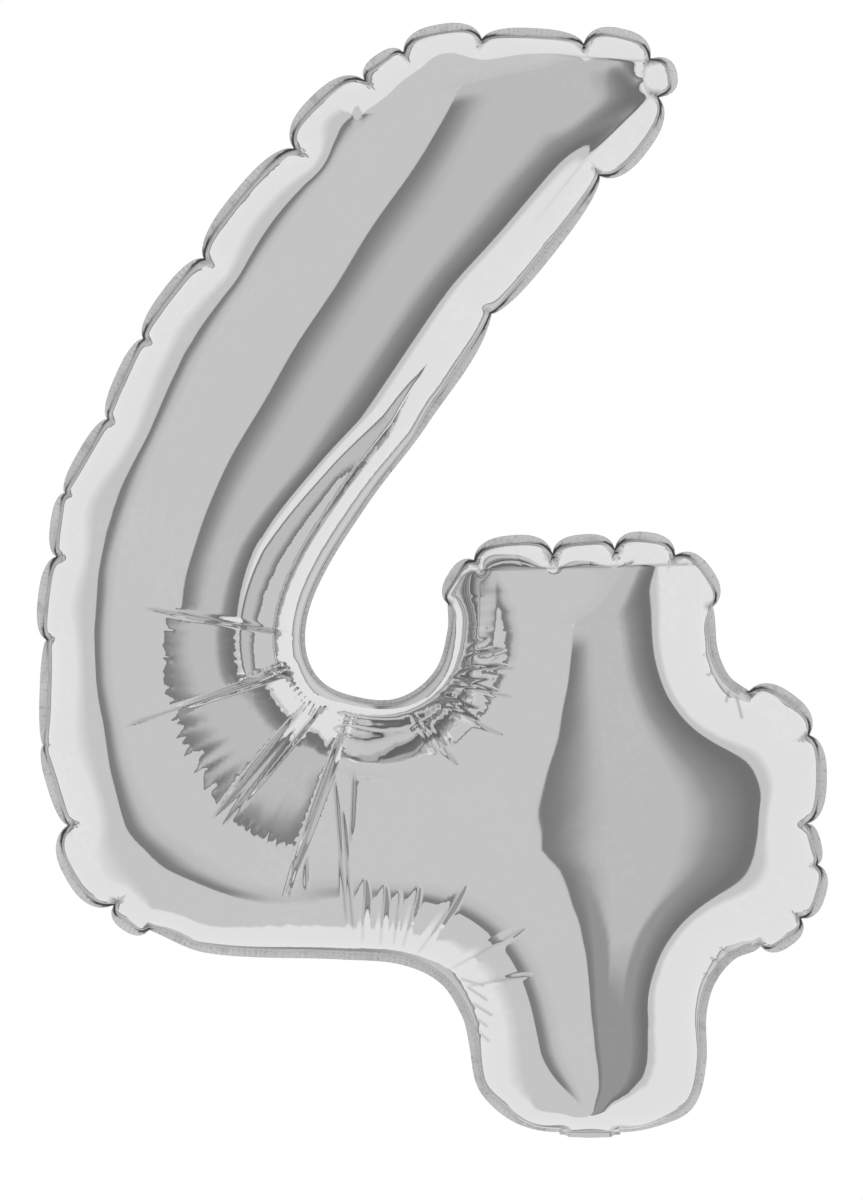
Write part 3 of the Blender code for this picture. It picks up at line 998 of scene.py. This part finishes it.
for name, side, rim, node, tone, seed in (
    ("front_foil", -1, neck_rim, "front_foil_panel", 0.74, 11),
    ("back_foil", 1, 0 * neck_rim, "back_foil_panel", 0.73, 23),
):
    piece = panel(name, side, rim, foil_material(name, tone, 0.045, seed), seed)
    dress(piece, node, "balloon")


# Valve and tail


def strip(name, columns, rows, spot, looks):
    """A film strip: spot(x, t) puts its cross section's columns at t along its length."""
    corners = np.concatenate([np.stack(spot(columns, t), axis=1) for t in rows])
    faces = grid_faces(len(rows), len(columns))
    sides = np.tile(ease((np.abs(columns) - CHANNEL_HALF) / CHANNEL_RAMP), len(rows))
    length = np.repeat(rows * TAIL_LENGTH, len(columns))
    return add_piece(name, corners, faces, looks, groove=0 * sides, along=length, flange=sides)


def valve_lift(x):
    half = VALVE_WIDTH / 2 - VALVE_SEAL - CHANNEL_RAMP
    return VALVE_LIFT * ease((half + CHANNEL_RAMP - np.abs(x)) / CHANNEL_RAMP)


def tail_radius():
    """Radius of the arc that the folded tail follows, from where its solid ends."""
    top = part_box("tail_back_ply")[1]
    rise = top.z + FOLD_DROP
    return (top.y**2 + rise**2) / (2 * rise)


def valve_film(name, side, looks):
    columns = np.linspace(-VALVE_WIDTH / 2, VALVE_WIDTH / 2, 33)

    def spot(x, t):
        uneven = VALVE_UNEVEN * (1 + np.sin(9 * t + x / MM))
        return x, side * (valve_lift(x) + uneven), 0 * x + t * VALVE_LENGTH

    return strip(name, columns, np.linspace(0, 1, 61), spot, looks)


def tail_ply(name, side, looks):
    """The front ply, with side -1, lies outside the fold and starts at the front panel's neck edge."""
    radius = tail_radius()
    columns = np.linspace(-NECK_WIDTH / 2, NECK_WIDTH / 2, 49)
    random = np.random.default_rng(5 + side)
    sways = [(length, random.uniform(0, 6)) for length in (5, 8, 13)]

    def spot(x, t):
        lift = channel_lift(x)
        angle = max(t, 0.0) * TAIL_LENGTH / radius
        sway = sum(np.sin(t * TAIL_LENGTH / MM / length + start + 0.1 * x / MM) for length, start in sways)
        lift = lift * (1 + 0.10 * sway * ease(t / 0.2))
        reach = radius - side * lift
        turn = np.clip(-t, 0, 1) * math.pi / 2
        y = reach * math.sin(angle) + side * (lift + PANEL_FILM) * math.sin(turn)
        z = radius - reach * math.cos(angle)
        z = np.where(t < 0, side * lift * math.cos(turn) + FOLD_DROP * math.sin(turn), z)
        rounded = FOLD_DROP * (2 * x / NECK_WIDTH) ** 2
        return x, y, z - FOLD_DROP + rounded * ease(1 - abs(t) / 0.12)

    rows = np.linspace(0, 1, 91)
    if side < 0:
        rows = np.concatenate([np.linspace(-1, 0, 12)[:-1], rows])
    return strip(name, columns, rows, spot, looks)


for name, side, node, tone in (
    ("valve_front", -1, "valve_front_film", 0.91),
    ("valve_back", 1, "valve_back_film", 0.89),
):
    piece = valve_film(name, side, valve_material(name, tone, side))
    dress(piece, node, "balloon")

for name, side, node, tone, length in (
    ("tail_front", -1, "tail_front_ply", 0.72, FRONT_TAIL_LENGTH),
    ("tail_back", 1, "tail_back_ply", 0.71, TAIL_LENGTH),
):
    piece = tail_ply(name, side, foil_material(name, tone, 0.12, 31 + side))
    dress(piece, node)
    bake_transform(piece)


# Studio

# Middle of the view, the cards' distance from it, rows and columns of their points, their tones, near the
# floor and in dark lines too, their lowest and highest elevations, and half the back card's angle, in degrees
MIDDLE = Vector((-0.0484, 0.0, 0.1624))
CARD_DISTANCE = 8.0
CARD_ROWS = 65
CARD_COLUMNS = 97
LEFT_CARD = 0.746
RIGHT_CARD = 0.664
FOOT_TONE = 0.39
LINE_TONE = 0.24
CARD_LOW = -88
CARD_TOP = 56
RIGHT_TOP = 80
OVERHEAD_TOP = 89
BACK_HALF = 35


def card_material():
    """Plain light of the level that each point of a card holds."""
    made, shader, add = new_material("card")
    nodes = made.node_tree.nodes
    nodes.remove(shader)
    glow = add("Emission", Color=add("Attribute", attribute_name="level").outputs["Fac"])
    fill(nodes["Material Output"], Surface=glow.outputs["Emission"])
    return made


CARD_LOOKS = card_material()


def studio_card(name, left, right, low, high, tone, facing=0.0):
    """A curved card that only the foil sees.

    left and right give its edges' azimuths at an elevation, tone gives its level at a share of the way
    from the left edge to the right one and an elevation. Angles are in degrees.
    """
    corners, levels = [], []
    shares = np.linspace(0, 1, CARD_COLUMNS)
    for elevation in np.linspace(low, high, CARD_ROWS):
        azimuth = np.radians(left(elevation) + (right(elevation) - left(elevation)) * shares + facing)
        out = math.cos(math.radians(elevation))
        up = np.full(CARD_COLUMNS, math.sin(math.radians(elevation)))
        ray = [np.sin(azimuth) * out, -np.cos(azimuth) * out, up]
        corners.append(np.array(MIDDLE) + CARD_DISTANCE * np.stack(ray, axis=1))
        levels.append(tone(shares, elevation))
    faces = grid_faces(CARD_ROWS, CARD_COLUMNS)
    card = add_piece(name, np.concatenate(corners), faces, CARD_LOOKS, level=np.concatenate(levels))
    card.visible_camera = False
    card.visible_diffuse = False
    card.visible_shadow = False


def edge_of(*knots):
    """An edge's azimuth at each elevation, through knots of both, in degrees."""
    elevations, azimuths = zip(*knots)
    return lambda elevation: np.interp(elevation, elevations, azimuths)


left_edge = edge_of(
    (-88, -10), (-75, -20), (-55, -36), (-45, -44), (-35, -48), (-25, -56), (-15, -60), (-5, -63), (0, -68),
    (20, -68), (35, -70), (50, -74))
crest_edge = edge_of(
    (-60, 14), (-35, 7), (-25, 3), (-15, 0), (-10, -4), (56, -4), (63, 14), (72, 40), (80, 64))
right_edge = edge_of(
    (-88, 44), (-40, 57), (-20, 62), (-5, 67), (5, 67), (20, 62), (35, 57), (56, 56), (80, 66))


def left_fall_off(elevation):
    """Wide near the floor, where the bar's underside sees it."""
    return left_edge(elevation) - np.interp(elevation, (-85, -72, -60, -20), (150, 120, 70, 24))


def right_fall_off(elevation):
    return right_edge(elevation) + 9


def left_tone(share, elevation):
    """Even, with a dark line down its left edge that fades near the floor."""
    wider = np.interp(elevation, (-40, 0), (1.9, 1.0))
    line = np.interp(share / wider, (0, 0.06, 0.14, 0.24), (LINE_TONE, 0.30, 0.66, LEFT_CARD))
    kept = ease((elevation + 72) / 14)
    return LEFT_CARD + (line - LEFT_CARD) * kept


def right_tone(share, elevation):
    """Dark towards both its edges, and darker all over near the floor."""
    crest = np.interp(share, (0, 0.06, 0.12, 0.19, 0.25), (LINE_TONE, 0.30, 0.42, 0.60, RIGHT_CARD))
    crest = crest + (RIGHT_CARD - crest) * ease((elevation - 44) / 8)
    side = np.interp(share, (0.55, 0.63, 0.69, 0.78, 0.90, 1), (RIGHT_CARD, 0.52, 0.38, 0.30, 0.23, 0.22))
    tone = np.minimum(crest, side)
    rim = np.interp(share, (0.1, 0.22, 0.3, 0.52, 0.62, 0.75), (-14, -24, -31, -31, -24, -16))
    return tone + (np.minimum(FOOT_TONE, tone) - tone) * ease((rim - elevation) / 5)


def left_fade(share, elevation):
    """Short near the floor."""
    even = np.interp(elevation, (-65, -45), (0.12, 0.55))
    return np.interp(share, (0, even, 1), (1.0, LEFT_CARD, LEFT_CARD))


def right_fade(share, elevation):
    return np.interp(share, (0, 0.5, 1), (LEFT_CARD, LEFT_CARD, 1.0))


def overhead_edge(elevation):
    if elevation < RIGHT_TOP:
        return crest_edge(elevation)
    return np.interp(elevation, (RIGHT_TOP, OVERHEAD_TOP), (66, 74))


def overhead_tone(share, elevation):
    """Even, with a soft change to the right card."""
    soft = 0.5 * ease((share - 0.7) / 0.3) * (elevation < RIGHT_TOP)
    return LEFT_CARD + (RIGHT_CARD - LEFT_CARD) * soft


def back_tone(share, elevation):
    """Two greys with a dark line between them and at the ends."""
    return np.interp(share, (0, 0.1, 0.46, 0.5, 0.56, 0.7, 0.9, 1),
                     (0.3, LEFT_CARD, LEFT_CARD, LINE_TONE, 0.45, RIGHT_CARD, RIGHT_CARD, LINE_TONE))


overhead_left = edge_of((CARD_TOP, -76), (OVERHEAD_TOP, -100))
back_left = edge_of((0, -BACK_HALF))
back_right = edge_of((0, BACK_HALF))
studio_card("left card", left_edge, crest_edge, CARD_LOW, CARD_TOP, left_tone)
studio_card("right card", crest_edge, right_edge, CARD_LOW, RIGHT_TOP, right_tone)
studio_card("left fall-off", left_fall_off, left_edge, CARD_LOW, CARD_TOP, left_fade)
studio_card("right fall-off", right_edge, right_fall_off, CARD_LOW, RIGHT_TOP, right_fade)
studio_card("overhead card", overhead_left, overhead_edge, CARD_TOP, OVERHEAD_TOP, overhead_tone)
studio_card("back card", back_left, back_right, -BACK_HALF, BACK_HALF, back_tone, 180.0)

# A floor that shows from above, and that the foil doesn't mirror
FLOOR_HEIGHT = -2.5
FLOOR_RADIUS = 0.55
FLOOR_PLACE = (-0.25, 0.4)


def floor_material():
    """Pale and matt, and white towards its rim, where it meets the background."""
    made, shader, add = new_material("pale floor")
    away = add("VectorMath", operation="LENGTH")
    put(add("TexCoord").outputs["Object"], away.inputs[0])
    share = add("Math", operation="DIVIDE")
    put(away.outputs["Value"], share.inputs[0])
    put(FLOOR_RADIUS, share.inputs[1])
    tone = ramp_between(add, share.outputs["Value"], [(0.5, 0.76), (1.0, 0.97)])
    fill(shader, Roughness=0.9, Specular_IOR_Level=0.0, Base_Color=tone)
    return made


bpy.ops.mesh.primitive_circle_add(vertices=96, radius=FLOOR_RADIUS, fill_type="NGON",
                                  location=(*FLOOR_PLACE, FLOOR_HEIGHT))
floor = bpy.context.object
floor.name = "floor"
floor.data.materials.append(floor_material())
floor.visible_glossy = False

world = bpy.data.worlds.new("white studio")
world.use_nodes = True
fill(world.node_tree.nodes["Background"], Color=grey(1.0), Strength=1.0)
bpy.context.scene.world = world
bpy.context.scene.view_settings.view_transform = "Standard"

# Camera, square to the digit

CAMERA_DISTANCE = 4.0
VIEW_HEIGHT = 0.3662
camera = bpy.data.objects.new("camera", bpy.data.cameras.new("camera"))
bpy.context.scene.collection.objects.link(camera)
camera.location = MIDDLE + Vector((0, -CAMERA_DISTANCE, 0))
camera.rotation_euler = (math.pi / 2, 0, 0)
camera.data.sensor_width = 36.0
camera.data.lens = camera.data.sensor_width * CAMERA_DISTANCE / VIEW_HEIGHT
bpy.context.scene.camera = camera
